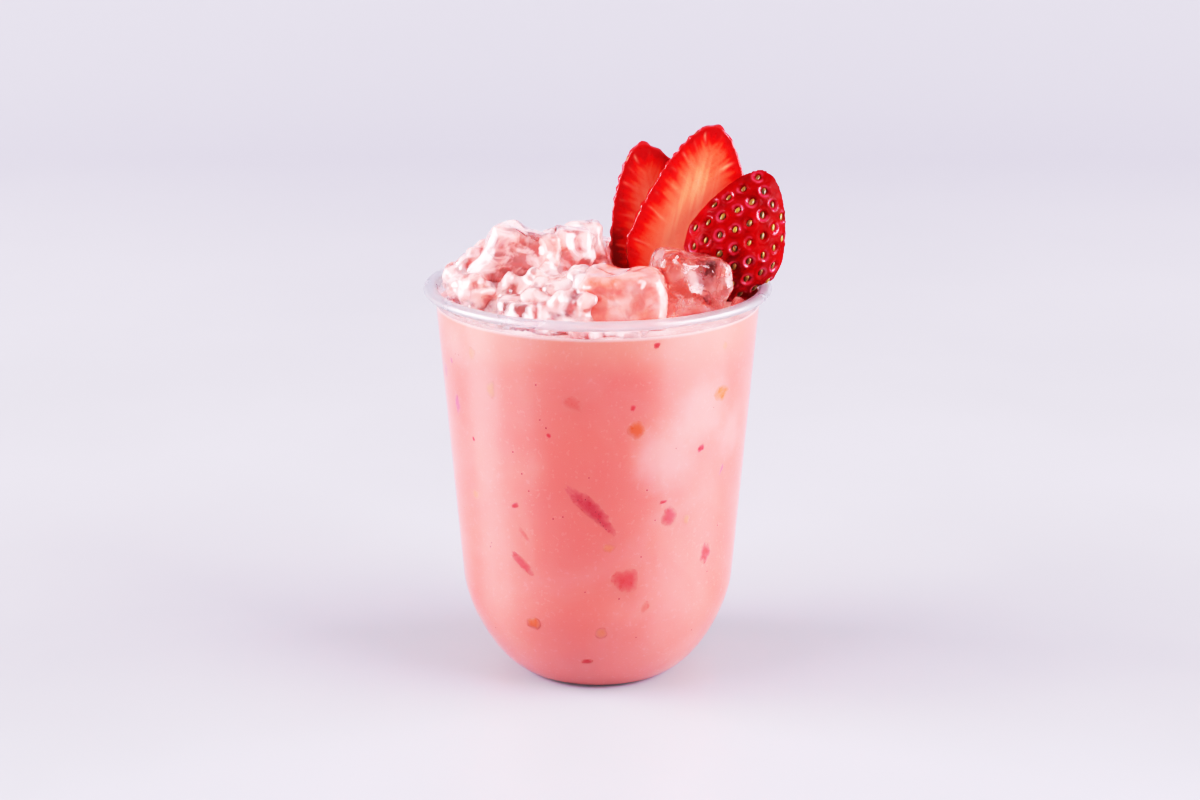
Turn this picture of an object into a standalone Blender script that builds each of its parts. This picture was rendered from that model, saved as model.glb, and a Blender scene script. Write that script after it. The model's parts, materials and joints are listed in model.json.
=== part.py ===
"""Iced strawberry milk tea in a clear cup with a rounded foot.

The cup is a thin turned shell with a rolled rim. The drink fills it up to its level, and an
uneven heap of ice and three strawberry slices stand in it. Metres, +Z up, with the origin at
the centre of the cup's foot and -Y as the front.
"""

import math
import random

import bmesh
import bpy
from mathutils import Matrix, Vector

MM = 0.001
GAP = 0.3 * MM  # left between pieces that touch
MERGE = 0.01 * MM

# Cup: a straight wall that leans outwards, over a rounded corner and a flat foot.
CUP_HEIGHT = 110.4 * MM
WALL = 0.6 * MM
WALL_TOP_RADIUS = 44.5 * MM  # outside, where the rim is rolled
WALL_FOOT_RADIUS = 35.7 * MM  # outside, where the straight wall would reach the foot's plane
FOOT_RADIUS = 20.9 * MM
CORNER_HEIGHT = 26.6 * MM
CORNER_POWER = 1.59
RIM_RADIUS = 47.5 * MM
RIM_HEIGHT = 2.6 * MM
CUP_STEPS = 48

# Drink: it stands a gap inside the wall.
DRINK_LEVEL = 104.8 * MM
DRINK_TOP_INSET = 0.5 * MM  # how far the level's edge is rounded

# Ice: centre, size, turn about X, Y and Z in degrees, and the top's share of the base's width.
# The first blocks keep their whole shape, and the later ones are pressed against them.
ICE = {
    "ice_front_right": ((6.8, -24.8, 107.7), (22.5, 20.0, 21.0), (-8, 2, -4), 0.95),
    "ice_right": ((23.2, -14.2, 111.3), (22.0, 17.0, 19.5), (4, 12, 14), 0.86),
    "ice_tall": ((-22.7, -5.0, 114.6), (25.0, 20.0, 25.0), (0, 17, -8), 0.61),
    "ice_left_low": ((-31.5, -13.3, 107.0), (11.4, 12.0, 13.0), (0, 3, -38), 1.08),
    "ice_front_left": ((-18.5, -27.0, 105.0), (15.5, 14.0, 13.5), (-4, 4, 32), 0.90),
    "ice_front_middle": ((-9.3, -22.0, 108.5), (10.5, 17.0, 17.0), (3, -6, 6), 0.85),
    "ice_middle": ((-8.5, -2.0, 115.5), (14.0, 14.0, 21.0), (4, 10, 10), 0.74),
    "ice_back": ((-5.8, 13.0, 114.0), (20.5, 14.0, 22.5), (0, 2, -5), 0.52),
    "ice_left_high": ((-34.0, 0.5, 111.2), (11.0, 13.0, 15.0), (0, 8, 4), 0.75),
    "ice_back_left": ((-24.0, 20.0, 105.5), (20.0, 18.0, 19.0), (6, -8, 34), 0.88),
    "ice_back_middle": ((1.0, 30.5, 105.5), (18.5, 15.0, 19.0), (-5, 6, 8), 0.88),
    "ice_chip": ((38.2, -10.5, 105.8), (5.0, 5.5, 6.0), (0, 10, 15), 0.75),
}
CORNER_STRAY = 0.05  # how far a corner strays, as a share of the block's side
MELTED_EDGE = 0.14  # the rounded edges' width, as a share of the block's shortest side

# Strawberry slices: each is a slab of a turned berry. The berry's tip as x, y and z in mm, the
# turns that lean it back and sideways in degrees, its length, radius and distance from the tip
# to its widest place, how blunt its tip is, and the slab's back and front from its axis.
SLICES = {
    "strawberry_right": ((48.3, 9.6, 145.4), (-7, 22.5, 0), 47.0, 15.1, 28.0, 0.68, 6.4, 16.0),
    "strawberry_middle": ((32.4, 10.0, 151.9), (-7, 12.5, 0), 51.0, 17.0, 36.0, 0.57, -2.0, 2.0),
    "strawberry_left": ((11.5, 14.6, 146.3), (-7, -15, 0), 44.0, 16.0, 30.0, 0.64, -1.9, 1.9),
}
TIP_POWER = 1.3
BERRY_STEPS = 24
BERRY_TURN_STEPS = 40

# Seeds: they follow a spiral round the berry, and half of each stands out of the skin.
SEED = (0.50 * MM, 0.40 * MM, 0.85 * MM)  # half its width, depth and length
SEED_SPACING = 4.6 * MM
SEED_TURN = math.radians(137.5)


def clear_scene():
    for obj in list(bpy.data.objects):
        bpy.data.objects.remove(obj)
    for collection in list(bpy.data.collections):
        bpy.data.collections.remove(collection)


def new_collection(name):
    collection = bpy.data.collections.new(name)
    bpy.context.scene.collection.children.link(collection)
    return collection


def finish(name, colour, roughness, transmission=0.0, ior=1.45):
    """A Principled material, with its colour in linear red, green and blue."""
    material = bpy.data.materials.new(name)
    material.use_nodes = True
    shader = material.node_tree.nodes["Principled BSDF"]
    shader.inputs["Base Color"].default_value = (*colour, 1.0)
    shader.inputs["Roughness"].default_value = roughness
    shader.inputs["Metallic"].default_value = 0.0
    shader.inputs["Transmission Weight"].default_value = transmission
    shader.inputs["IOR"].default_value = ior
    return material


def add_object(name, mesh, collection, material=None):
    obj = bpy.data.objects.new(name, mesh)
    collection.objects.link(obj)
    if material:
        mesh.materials.append(material)
    else:
        obj.hide_render = True
        obj.display_type = "WIRE"
    return obj


def mesh_from_bmesh(name, bm):
    mesh = bpy.data.meshes.new(name)
    bm.to_mesh(mesh)
    bm.free()
    return mesh


def turned(name, profile, collection, material=None, steps=CUP_STEPS):
    """Turns a profile of (radius, height), which runs down its outer side, about Z.

    A profile that keeps clear of the axis is a closed one.
    """
    mesh = bpy.data.meshes.new(name)
    points = [(radius, 0.0, height) for radius, height in profile]
    edges = [(i, i + 1) for i in range(len(points) - 1)]
    if profile[0][0] > 0:
        edges.append((len(points) - 1, 0))
    mesh.from_pydata(points, edges, [])
    obj = add_object(name, mesh, collection, material)
    screw = obj.modifiers.new("turn", "SCREW")
    screw.steps = steps
    screw.render_steps = steps
    screw.use_merge_vertices = True
    screw.merge_threshold = MERGE
    screw.use_smooth_shade = True
    return obj


def boolean(obj, other, operation, solver="EXACT"):
    """Cuts or joins an object by another object, or by all objects of a collection."""
    modifier = obj.modifiers.new(operation.lower(), "BOOLEAN")
    modifier.operation = operation
    modifier.solver = solver
    if isinstance(other, bpy.types.Collection):
        modifier.operand_type = "COLLECTION"
        modifier.collection = other
    else:
        modifier.object = other


def apply_modifiers(obj):
    """Gives the object the mesh that its modifiers make."""
    graph = bpy.context.evaluated_depsgraph_get()
    mesh = bpy.data.meshes.new_from_object(obj.evaluated_get(graph))
    obj.modifiers.clear()
    obj.data = mesh


# Cup


def wall_radius(height):
    """The cup's outer radius at a height."""
    spread = WALL_TOP_RADIUS - WALL_FOOT_RADIUS
    straight = WALL_FOOT_RADIUS + spread * height / (CUP_HEIGHT - RIM_HEIGHT)
    below = max(0.0, 1 - height / CORNER_HEIGHT)
    inward = 1 - (1 - below**CORNER_POWER) ** (1 / CORNER_POWER)
    return straight - (WALL_FOOT_RADIUS - FOOT_RADIUS) * inward


def wall_line(top, inset, foot, corner_steps=9):
    """Points (radius, height) down the wall, inset from its outside, to a foot plane."""
    line = [(wall_radius(top) - inset, top)]
    for i in range(corner_steps + 1):
        share = 1 - math.sin(math.pi / 2 * i / corner_steps)
        radius = wall_radius(share * CORNER_HEIGHT) - inset
        line.append((radius, foot + share * (CORNER_HEIGHT - foot)))
    return line


def bead_arc(inset, start, end, steps):
    """Points on the rolled rim's oval, inset from its outside, between two angles."""
    half_width = (RIM_RADIUS - WALL_TOP_RADIUS + WALL) / 2
    half_height = RIM_HEIGHT / 2
    centre = RIM_RADIUS - half_width
    angles = [math.radians(start + (end - start) * i / steps) for i in range(steps + 1)]
    return [
        (
            centre + (half_width - inset) * math.cos(angle),
            CUP_HEIGHT - half_height + (half_height - inset) * math.sin(angle),
        )
        for angle in angles
    ]


def make_cup(collection):
    """One sheet: from the inside's middle up to the rim, round its roll, and down the outside."""
    inner_wall = list(reversed(wall_line(CUP_HEIGHT - RIM_HEIGHT, WALL, WALL)))
    roll_top = bead_arc(0.0, 170, -105, 10)
    roll_inside = bead_arc(WALL, -105, 145, 8)
    outer_wall = wall_line(CUP_HEIGHT - RIM_HEIGHT, 0.0, 0.0)
    profile = [(0.0, WALL), *inner_wall, *roll_top, *roll_inside, *outer_wall, (0.0, 0.0)]
    plastic = finish("clear_plastic", (0.93, 0.92, 0.96), 0.05, 1.0, 1.57)
    turned("cup", profile, collection, plastic)


def make_rim_cutter(collection):
    """A ring that stands for the rim and all outside it, a gap larger than they are."""
    foot = 80 * MM
    far = 70 * MM
    inside = WALL + GAP
    top = bead_arc(-GAP, 90, 175, 5)
    profile = [
        (far, CUP_HEIGHT + GAP),
        (far, foot),
        (wall_radius(foot) - inside, foot),
        (wall_radius(CUP_HEIGHT - RIM_HEIGHT) - inside, CUP_HEIGHT - RIM_HEIGHT),
        *reversed(top),
    ]
    return turned("rim_cutter", profile, collection)


# Drink


def make_drink(collection, cutters):
    """The drink up to its level. The cutters overlap each other, which needs MANIFOLD."""
    inset = WALL + GAP
    wall = wall_line(DRINK_LEVEL - DRINK_TOP_INSET, inset, inset)
    edge = (wall[0][0] - DRINK_TOP_INSET, DRINK_LEVEL)
    profile = [(0.0, DRINK_LEVEL), edge, *wall, (0.0, inset)]
    drink = turned("drink", profile, collection, finish("milk_tea", (0.92, 0.42, 0.40), 0.3))
    boolean(drink, cutters, "DIFFERENCE", solver="MANIFOLD")


# Ice


def ice_matrix(name):
    centre, _, turn, _ = ICE[name]
    place = Matrix.Translation(Vector(centre) * MM)
    for axis, angle in zip("ZYX", reversed(turn)):
        place @= Matrix.Rotation(math.radians(angle), 4, axis)
    return place


def add_ice(name, object_name, collection, material=None, grow=0.0):
    """A cube that narrows upwards, with strayed corners and melted edges."""
    _, size, _, top = ICE[name]
    draw = random.Random(name)
    bm = bmesh.new()
    bmesh.ops.create_cube(bm, size=1.0)
    for vert in bm.verts:
        stray = Vector([draw.uniform(-CORNER_STRAY, CORNER_STRAY) for _ in range(3)])
        share = top if vert.co.z > 0 else 1.0
        corner = Vector((vert.co.x * share, vert.co.y * share, vert.co.z)) + stray
        vert.co = Vector([c * (side * MM + 2 * grow) for c, side in zip(corner, size)])
    obj = add_object(object_name, mesh_from_bmesh(object_name, bm), collection, material)
    obj.matrix_world = ice_matrix(name)
    bevel = obj.modifiers.new("melted_edges", "BEVEL")
    bevel.width = MELTED_EDGE * min(size) * MM
    bevel.segments = 3
    bevel.profile = 0.6
    bevel.limit_method = "NONE"
    return obj


# Strawberry slices


def berry_radius(name, down):
    """The berry's radius at a distance down from its tip."""
    _, _, length, radius, widest, bluntness, _, _ = SLICES[name]
    down /= MM
    if down < widest:
        return radius * MM * (1 - (1 - down / widest) ** TIP_POWER) ** bluntness
    return radius * MM * math.sqrt(max(0.0, 1 - ((down - widest) / (length - widest)) ** 2))


def berry_profile(name, grow):
    """Points (radius, height) from the berry's tip down to its end, grown outwards."""
    length = SLICES[name][2] * MM
    profile = [(0.0, grow)]
    for i in range(1, BERRY_STEPS):
        turn = math.pi * i / BERRY_STEPS
        down = length * (1 - math.cos(turn)) / 2
        radius = berry_radius(name, down) + grow * math.sin(turn)
        profile.append((radius, grow * math.cos(turn) - down))
    profile.append((0.0, -length - grow))
    return profile


def slice_matrix(name):
    """From the berry's own frame: its tip at the origin and its axis down -Z."""
    tip, turn, *_ = SLICES[name]
    place = Matrix.Translation(Vector(tip) * MM)
    for axis, angle in zip("XYZ", turn):
        place @= Matrix.Rotation(math.radians(angle), 4, axis)
    return place


def add_slice(name, object_name, collection, material=None, grow=0.0):
    """The slab that two straight cuts leave of a berry."""
    length, radius, back, front = [SLICES[name][i] * MM for i in (2, 3, 6, 7)]
    bm = bmesh.new()
    bmesh.ops.create_cube(bm, size=1.0)
    size = Matrix.Diagonal((4 * radius, front - back + 2 * grow, 3 * length, 1.0))
    bmesh.ops.transform(bm, matrix=size, verts=bm.verts[:])
    slab = add_object("slab", mesh_from_bmesh("slab", bm), collection)
    slab.location = (0.0, -(front + back) / 2, 0.0)
    bpy.context.view_layer.update()
    berry = turned(object_name, berry_profile(name, grow), collection, material, BERRY_TURN_STEPS)
    boolean(berry, slab, "INTERSECT")
    apply_modifiers(berry)
    bpy.data.objects.remove(slab)
    berry.matrix_world = slice_matrix(name)
    return berry


def seed_places(name):
    """Places along a spiral that winds down the berry, evenly spread, as (down, angle)."""
    down = SEED_SPACING / 2
    angle = 0.0
    while down < SLICES[name][2] * MM - SEED_SPACING / 2:
        yield down, angle
        angle += SEED_TURN
        radius = berry_radius(name, down)
        slope = math.atan2(berry_radius(name, down + MM) - radius, MM)
        down += SEED_SPACING**2 / (2 * math.pi * radius) * math.cos(slope)


def add_seeds(name, collection, material):
    """The seeds of the end slice's skin, above the drink, each half sunk in the skin."""
    back = SLICES[name][6] * MM
    for down, angle in seed_places(name):
        radius = berry_radius(name, down)
        slope = math.atan2(berry_radius(name, down + MM) - radius, MM)
        out = Matrix.Translation((0.0, -radius, -down)) @ Matrix.Rotation(-slope, 4, "X")
        place = slice_matrix(name) @ Matrix.Rotation(angle, 4, "Z") @ out
        behind_cut = radius * math.cos(angle) < back + SEED[0]
        if behind_cut or place.translation.z < DRINK_LEVEL + SEED[2]:
            continue
        bm = bmesh.new()
        bmesh.ops.create_icosphere(bm, subdivisions=1, radius=1.0)
        bmesh.ops.transform(bm, matrix=Matrix.Diagonal((*SEED, 1.0)), verts=bm.verts[:])
        seed = add_object("seed", mesh_from_bmesh("seed", bm), collection, material)
        seed.matrix_world = place


def main():
    clear_scene()
    parts = new_collection("strawberry_milk_tea")
    cutters = new_collection("cutters")
    make_cup(parts)
    rim = make_rim_cutter(new_collection("rim"))

    skin = finish("strawberry_skin", (0.55, 0.01, 0.015), 0.28)
    flesh = finish("strawberry_flesh", (0.80, 0.09, 0.04), 0.35)
    frozen = finish("milky_ice", (0.95, 0.66, 0.66), 0.12, 0.5, 1.31)
    seeds = new_collection("seeds")
    seeds.hide_render = True
    earlier = []
    for name in SLICES:
        piece = add_slice(name, name, parts, skin if name == "strawberry_right" else flesh)
        if name == "strawberry_right":
            add_seeds(name, seeds, skin)
            boolean(piece, seeds, "UNION")
        boolean(piece, rim, "DIFFERENCE")
        earlier.append(add_slice(name, name + "_cutter", cutters, grow=GAP + SEED[1]))
    for name in ICE:
        block = add_ice(name, name, parts, frozen)
        for cutter in [rim, *earlier]:
            boolean(block, cutter, "DIFFERENCE")
        earlier.append(add_ice(name, name + "_cutter", cutters, grow=GAP))
    make_drink(parts, cutters)


main()
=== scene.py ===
import json
import math
import random

import bmesh
import bpy
from mathutils import Matrix, Vector, noise
from mathutils.bvhtree import BVHTree

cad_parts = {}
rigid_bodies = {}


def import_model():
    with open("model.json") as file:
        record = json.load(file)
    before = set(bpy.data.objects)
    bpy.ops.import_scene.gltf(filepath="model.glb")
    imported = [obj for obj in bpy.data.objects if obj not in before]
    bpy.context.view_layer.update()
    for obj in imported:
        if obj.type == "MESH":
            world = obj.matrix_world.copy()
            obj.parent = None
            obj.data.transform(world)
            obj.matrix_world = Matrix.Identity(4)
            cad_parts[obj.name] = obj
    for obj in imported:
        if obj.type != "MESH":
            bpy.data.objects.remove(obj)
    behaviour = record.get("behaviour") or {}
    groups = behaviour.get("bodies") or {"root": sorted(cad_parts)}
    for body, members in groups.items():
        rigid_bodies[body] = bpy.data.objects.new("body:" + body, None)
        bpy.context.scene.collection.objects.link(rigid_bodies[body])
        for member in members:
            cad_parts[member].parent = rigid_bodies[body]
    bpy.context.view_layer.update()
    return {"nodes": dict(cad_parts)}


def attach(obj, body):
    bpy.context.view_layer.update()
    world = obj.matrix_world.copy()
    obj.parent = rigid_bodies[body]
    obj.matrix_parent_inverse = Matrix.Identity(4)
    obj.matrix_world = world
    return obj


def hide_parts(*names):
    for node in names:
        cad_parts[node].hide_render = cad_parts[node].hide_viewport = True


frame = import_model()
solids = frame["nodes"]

MM = 0.001

# Cup ------------------------------------------------------------------------
# A single-use cup of clear PET sheet, 0.6 mm thick. It is thermoformed over a plug, which rounds
# the wall into a small flat foot, and its rim is then rolled outwards into a hollow bead.

CUP_HEIGHT = 110.4 * MM
WALL = 0.6 * MM
WALL_TOP_RADIUS = 44.5 * MM
WALL_FOOT_RADIUS = 35.7 * MM
FOOT_RADIUS = 20.9 * MM
CORNER_HEIGHT = 26.6 * MM
CORNER_POWER = 1.59
RIM_RADIUS = 47.5 * MM
RIM_HEIGHT = 2.6 * MM
WALL_TOP = CUP_HEIGHT - RIM_HEIGHT
ROUND = 192  # faces round the cup


def linear(colour):
    """An sRGB hex colour as linear red, green, blue and alpha."""
    parts = [int(colour[i : i + 2], 16) / 255 for i in (1, 3, 5)]
    bent = [c / 12.92 if c <= 0.04045 else ((c + 0.055) / 1.055) ** 2.4 for c in parts]
    return (*bent, 1.0)


def feed(tree, node, feeds):
    """Sets a node's inputs, by name or in their order. A node stands for its first output in use."""
    for key, value in enumerate(feeds) if isinstance(feeds, list) else feeds.items():
        if isinstance(value, bpy.types.Node):
            value = next(socket for socket in value.outputs if socket.enabled)
        if isinstance(value, str) and value.startswith("#"):
            value = linear(value)
        if isinstance(value, bpy.types.NodeSocket):
            tree.links.new(value, node.inputs[key])
        else:
            node.inputs[key].default_value = value


def add(tree, kind, feeds=None, stops=(), **settings):
    """Adds a node with its settings, what feeds its inputs, and a ramp's stops of hex colours."""
    node = tree.nodes.new(kind)
    for name, value in settings.items():
        setattr(node, name, value)
    for _ in stops[2:]:
        node.color_ramp.elements.new(0.5)
    for number, (position, colour) in enumerate(stops):
        node.color_ramp.elements[number].position = position
        node.color_ramp.elements[number].color = linear(colour)
    feed(tree, node, feeds or {})
    return node


SHOWN, OVER = 6, 7  # a Mix node's two colour inputs: what shows at 0, and what covers it at 1


def new_material(name, **values):
    """A material with its node tree and its Principled shader, set to the values given."""
    material = bpy.data.materials.new(name)
    material.use_nodes = True
    tree = material.node_tree
    shader = tree.nodes["Principled BSDF"]
    for key, value in values.items():
        shader.inputs[key.replace("_", " ")].default_value = value
    return material, tree, shader


def dress(piece, *materials):
    """Gives the piece these materials and no others."""
    piece.data.materials.clear()
    for material in materials:
        piece.data.materials.append(material)


def wall_radius(height):
    """The cup's outer radius at a height."""
    spread = WALL_TOP_RADIUS - WALL_FOOT_RADIUS
    straight = WALL_FOOT_RADIUS + spread * height / WALL_TOP
    below = max(0.0, 1 - height / CORNER_HEIGHT)
    inward = 1 - (1 - below**CORNER_POWER) ** (1 / CORNER_POWER)
    return straight - (WALL_FOOT_RADIUS - FOOT_RADIUS) * inward


def wall_line(top, inset, foot, corner_steps=30, wall_steps=12):
    """Points (radius, height) down the wall, inset from its outside, to a foot plane."""
    line = []
    for i in range(wall_steps):
        height = top + (CORNER_HEIGHT - top) * i / wall_steps
        line.append((wall_radius(height) - inset, height))
    for i in range(corner_steps + 1):
        share = 1 - math.sin(math.pi / 2 * i / corner_steps)
        radius = wall_radius(share * CORNER_HEIGHT) - inset
        line.append((radius, foot + share * (CORNER_HEIGHT - foot)))
    return line


def bead_arc(inset, start, end, steps):
    """Points on the rolled rim's oval, inset from its outside, between two angles."""
    half_width = (RIM_RADIUS - WALL_TOP_RADIUS + WALL) / 2
    half_height = RIM_HEIGHT / 2
    centre = RIM_RADIUS - half_width
    angles = [math.radians(start + (end - start) * i / steps) for i in range(steps + 1)]
    return [
        (
            centre + (half_width - inset) * math.cos(angle),
            CUP_HEIGHT - half_height + (half_height - inset) * math.sin(angle),
        )
        for angle in angles
    ]


def new_piece(name, mesh, material=None):
    """An object for a mesh, in the scene."""
    piece = bpy.data.objects.new(name, mesh)
    bpy.context.scene.collection.objects.link(piece)
    if material:
        mesh.materials.append(material)
    return piece


def made(piece):
    """Gives the piece the mesh that its modifiers make, and takes them off."""
    graph = bpy.context.evaluated_depsgraph_get()
    mesh = bpy.data.meshes.new_from_object(piece.evaluated_get(graph))
    piece.modifiers.clear()
    piece.data = mesh
    return piece


def outwards(mesh):
    """Merges doubled corners, turns every face outwards and shades it smooth."""
    bm = bmesh.new()
    bm.from_mesh(mesh)
    bmesh.ops.remove_doubles(bm, verts=bm.verts[:], dist=0.001 * MM)
    bmesh.ops.recalc_face_normals(bm, faces=bm.faces[:])
    for face in bm.faces:
        face.smooth = True
    bm.to_mesh(mesh)
    bm.free()


pet, tree, shader = new_material("clear_thermoformed_pet", IOR=1.5)
# The sheet stretches unevenly over 15 to 30 mm, which gives the gloss a slow wander.
place = add(tree, "ShaderNodeTexCoord").outputs["Object"]
stretch = add(tree, "ShaderNodeTexNoise", {"Vector": place, "Scale": 55.0, "Detail": 2.0})
haze = add(tree, "ShaderNodeMapRange", [stretch, 0.3, 0.7, 0.06, 0.13])
tint = add(tree, "ShaderNodeValToRGB", [stretch], stops=[(0.3, "#FBF9FE"), (0.7, "#FFFFFF")])
# Rolling whitens the sheet: the rim is hazy and lets less light through.
axes = add(tree, "ShaderNodeSeparateXYZ", [place])
rolled = add(
    tree,
    "ShaderNodeMapRange",
    [axes.outputs["Z"], WALL_TOP - 0.8 * MM, WALL_TOP + 0.4 * MM],
    interpolation_type="SMOOTHSTEP",
)
through = add(tree, "ShaderNodeMath", [rolled, -0.03, 1.0], operation="MULTIPLY_ADD")
rough = add(tree, "ShaderNodeMath", [rolled, 0.2, haze], operation="MULTIPLY_ADD")
ripple = add(tree, "ShaderNodeBump", {"Height": stretch, "Strength": 0.15, "Distance": 0.6 * MM})
looks = {"Base Color": tint, "Transmission Weight": through, "Roughness": rough, "Normal": ripple}
feed(tree, shader, looks)

profile = [
    (0.0, WALL),
    *reversed(wall_line(WALL_TOP, WALL, WALL)),
    *bead_arc(0.0, 170, -105, 30),
    *bead_arc(WALL, -105, 145, 26),
    *wall_line(WALL_TOP, 0.0, 0.0),
    (0.0, 0.0),
]
sheet_line = bpy.data.meshes.new("cup_line")
sheet_line.from_pydata(
    [(radius, 0.0, height) for radius, height in profile],
    [(i, i + 1) for i in range(len(profile) - 1)],
    [],
)
cup = new_piece("formed_cup", sheet_line)
turn = cup.modifiers.new("turn", "SCREW")
turn.steps = ROUND
turn.render_steps = ROUND
turn.use_merge_vertices = True
turn.merge_threshold = 0.001 * MM
made(cup)
outwards(cup.data)
dress(cup, pet)
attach(cup, "root")
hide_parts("cup")

# Ice ------------------------------------------------------------------------
# Machine-made ice cubes, half melted: edges are round, faces have wandering hollows, and a film
# of the milky drink clings to them. They are tipped into the cup and lie as they fell.

LOOSE = 0.05 * MM  # how far the ice stays off the cup's wall and rim
ICE_GRID = 0.45 * MM  # the size of the skin's faces
ROUNDS = 60  # rounds of smoothing, which make an edge about 3 mm round
HUMP = 1.5 * MM
HUMP_ACROSS = 10.0  # mm
SCALLOP = 1.5 * MM
SCALLOP_ACROSS = 7.5  # mm
DENT = 0.1 * MM
DENT_ACROSS = 3.0 * MM
BROKEN_FACES = 230  # flat faces that each block's skin is broken into
EDGE_ROUNDS = 5  # rounds of smoothing that melt the edges between them


def merged_copy(node, name):
    """A new piece with a copy of a solid's mesh, its doubled corners merged."""
    mesh = solids[node].data.copy()
    mesh.materials.clear()
    bm = bmesh.new()
    bm.from_mesh(mesh)
    bmesh.ops.remove_doubles(bm, verts=bm.verts[:], dist=0.001 * MM)
    bm.to_mesh(mesh)
    bm.free()
    return new_piece(name, mesh)


def fine_skin(piece, size):
    """Covers the piece with even faces of about that size."""
    cover = piece.modifiers.new("even_faces", "REMESH")
    cover.mode = "VOXEL"
    cover.voxel_size = size
    cover.use_smooth_shade = True
    return made(piece)


def smoothed(piece, rounds):
    """Rounds the piece off."""
    rounded = piece.modifiers.new("rounded", "SMOOTH")
    rounded.factor = 0.5
    rounded.iterations = rounds
    return made(piece)


def broken_flat(piece, faces):
    """Breaks the piece's skin into that many flat faces."""
    broken = piece.modifiers.new("broken_faces", "DECIMATE")
    broken.ratio = faces / len(piece.data.polygons)
    return made(piece)


def corners_of(mesh):
    """The mesh's corner points, each with its normal before any of them moves."""
    normals = [vertex.normal.copy() for vertex in mesh.vertices]
    return zip(mesh.vertices, normals)


def keep_inside(point):
    """Moves a point inwards where it would be in the cup's wall or rim."""
    out = math.hypot(point.x, point.y)
    if point.z > CUP_HEIGHT + 0.3 * MM:
        return
    limit = wall_radius(min(point.z, WALL_TOP)) - WALL - LOOSE
    if point.z > WALL_TOP:
        limit = min(limit, RIM_RADIUS - (RIM_RADIUS - WALL_TOP_RADIUS + WALL) - LOOSE)
    if out > limit:
        point.x *= limit / out
        point.y *= limit / out


def melt(piece, seed, dimples=()):
    """Rounds the block off, wears it into humps and scallops, breaks it flat, melts its edges.

    Dimples are (place, half sizes, depth) in mm.
    """
    smoothed(piece, ROUNDS)
    mesh = piece.data
    shift = Vector((seed * 7.3, seed * 3.1, seed * 5.7))
    for vertex, normal in corners_of(mesh):
        spot = vertex.co / MM
        wide = noise.voronoi(spot / SCALLOP_ACROSS + shift)[0][0] / 0.75
        humps = HUMP * noise.noise(spot / HUMP_ACROSS + shift)
        move = humps + SCALLOP * (min(wide * wide, 1.0) - 0.45)
        vertex.co += normal * move
    broken_flat(piece, BROKEN_FACES)
    fine_skin(piece, ICE_GRID)
    smoothed(piece, EDGE_ROUNDS)
    mesh = piece.data
    for vertex, normal in corners_of(mesh):
        move = DENT * noise.noise(vertex.co / DENT_ACROSS + shift)
        for centre, halves, deep in dimples:
            away = sum(((vertex.co[i] / MM - centre[i]) / halves[i]) ** 2 for i in range(3))
            move -= deep * MM * math.exp(-(away**2))
        vertex.co += normal * move
        keep_inside(vertex.co)
    mesh.update()


def ice_finish(name, clear, cloudy, colours, film_shine=0.8):
    """Ice: shares of light that it lets through where clear and cloudy, and its film's colours."""
    material, tree, shader = new_material(
        name,
        IOR=1.31,
        Subsurface_Weight=0.85,
        Subsurface_Radius=(1.0, 0.6, 0.55),
        Subsurface_Scale=4.0 * MM,
        Coat_Weight=film_shine,
        Coat_Roughness=0.04,
    )
    place = add(tree, "ShaderNodeTexCoord").outputs["Object"]
    # Air bubbles froze in clouds about 5 mm across, with clear ice between them.
    cloud = add(
        tree,
        "ShaderNodeTexNoise",
        {"Vector": place, "Scale": 210.0, "Detail": 3.0, "Distortion": 0.6},
    )
    through = add(tree, "ShaderNodeMapRange", [cloud, 0.42, 0.6, cloudy, clear])
    # The film of drink is thicker in some places, 9 mm across, and turns them salmon.
    film = add(tree, "ShaderNodeTexNoise", {"Vector": place, "Scale": 110.0, "Detail": 3.0})
    colour = add(
        tree,
        "ShaderNodeValToRGB",
        [film],
        stops=[(0.36 + 0.13 * i, colour) for i, colour in enumerate(colours)],
    )
    wet = add(tree, "ShaderNodeMapRange", [cloud, 0.4, 0.65, 0.22, 0.03])
    grain = add(tree, "ShaderNodeTexNoise", {"Vector": place, "Scale": 600.0, "Detail": 3.0})
    # The ice breaks in small flats about 2.5 mm across, which glint one by one.
    flats = add(tree, "ShaderNodeTexVoronoi", {"Vector": place, "Scale": 400.0, "Randomness": 1.0})
    broken = add(tree, "ShaderNodeBump", {"Height": flats, "Strength": 0.6, "Distance": 0.5 * MM})
    bump = add(
        tree,
        "ShaderNodeBump",
        {"Height": grain, "Strength": 0.35, "Distance": 0.25 * MM, "Normal": broken},
    )
    looks = {"Base Color": colour, "Transmission Weight": through, "Roughness": wet, "Normal": bump}
    feed(tree, shader, looks)
    return material


PALE = ("#FACCC8", "#F9BFBA", "#F6AFA6")
SALMON = ("#F7B4AC", "#F59B90", "#EF8A7C")
GREY_PINK = ("#F3CAC5", "#F1BCB5", "#EDABA2")
milky = ice_finish("milky_melting_ice", 0.85, 0.3, PALE)
salmon = ice_finish("salmon_melting_ice", 0.55, 0.35, SALMON)
splinters = ice_finish("splintered_ice", 0.75, 0.28, PALE, film_shine=0.6)
glassy = ice_finish("clear_melting_ice", 0.97, 0.8, GREY_PINK, film_shine=0.25)
finishes = {"ice_right": glassy, "ice_chip": glassy, "ice_front_right": salmon}
DIMPLE = ((0.5, -34.0, 114.0), (6.5, 7.0, 2.0), 1.5)
blocks = {}
for number, node in enumerate(sorted(n for n in solids if n.startswith("ice_"))):
    block = merged_copy(node, "melted_" + node)
    fine_skin(block, ICE_GRID)
    melt(block, number + 1, [DIMPLE] if node == "ice_front_right" else [])
    dress(block, finishes.get(node, milky))
    blocks[node] = block
    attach(block, "root")
    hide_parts(node)

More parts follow.
